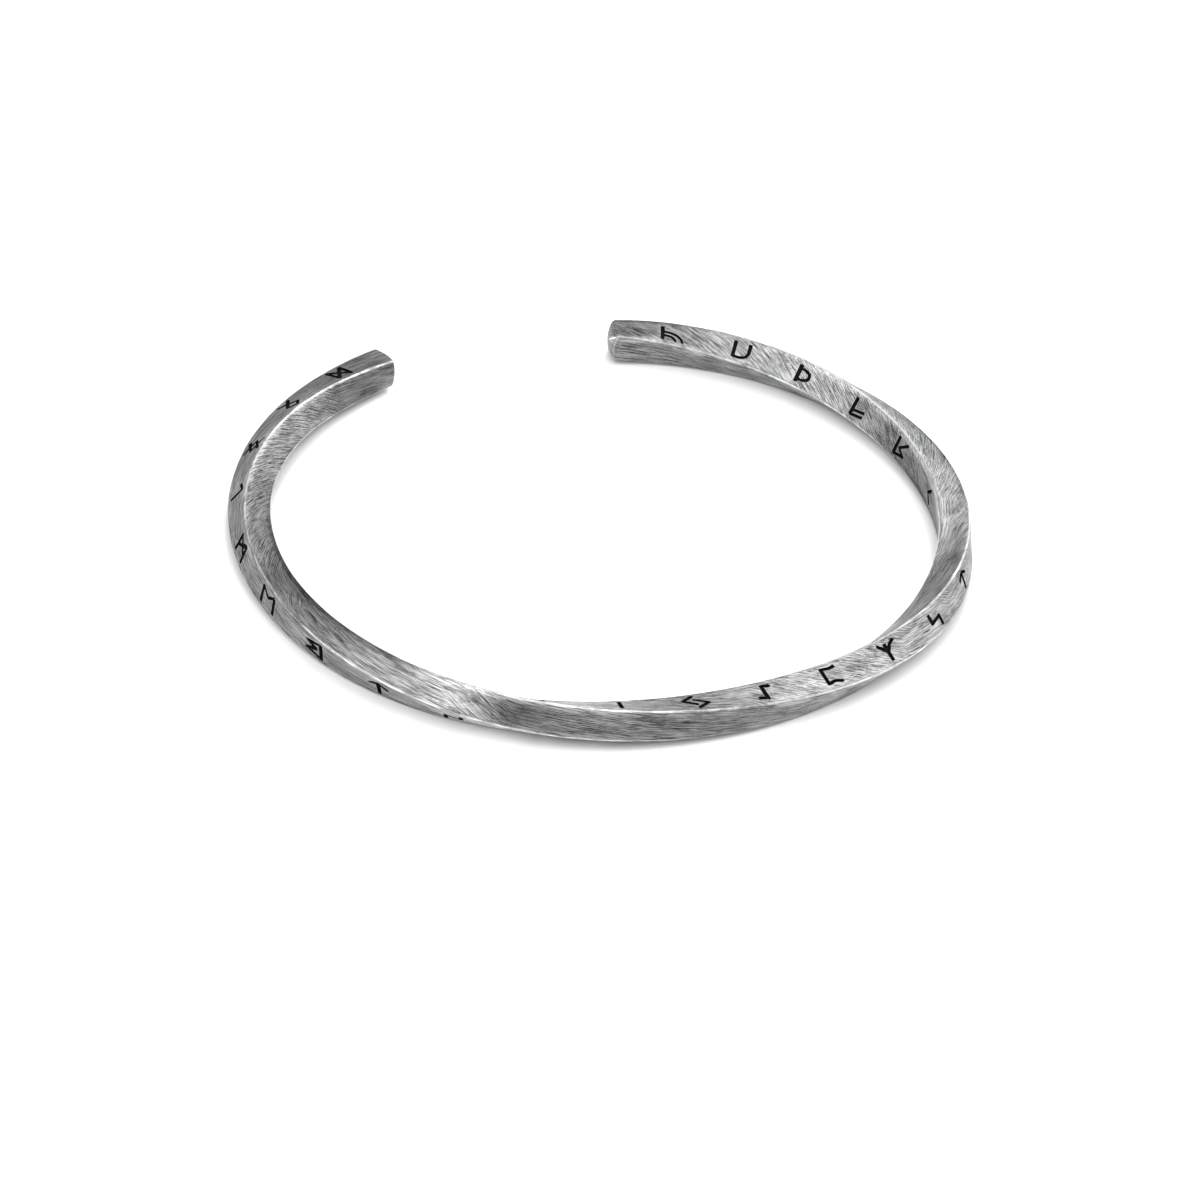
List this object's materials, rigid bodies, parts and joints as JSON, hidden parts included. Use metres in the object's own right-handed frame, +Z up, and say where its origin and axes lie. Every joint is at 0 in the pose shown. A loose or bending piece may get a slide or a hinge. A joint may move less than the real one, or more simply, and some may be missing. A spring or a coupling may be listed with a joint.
{
  "type": "twisted square-bar cuff bangle",
  "caption": "Open oval arm ring bent from one slender square bar that turns once along its length, with old runic signs cut into two opposite faces.",
  "frame": {"origin": "middle of the ring's outline, on the surface that it lies on", "axes": "+X along the long axis of the oval, +Y towards the gap between the tips, +Z up, square to the plane of the ring"},
  "size_m": [0.07, 0.0574, 0.0039],
  "materials": {
    "silver": "silver with a darkened skin, brushed along the bar, its edges polished bright and its cut signs blackened"
  },
  "bodies": {
    "root": {"arm_ring": "silver"}
  },
  "joints": []
}
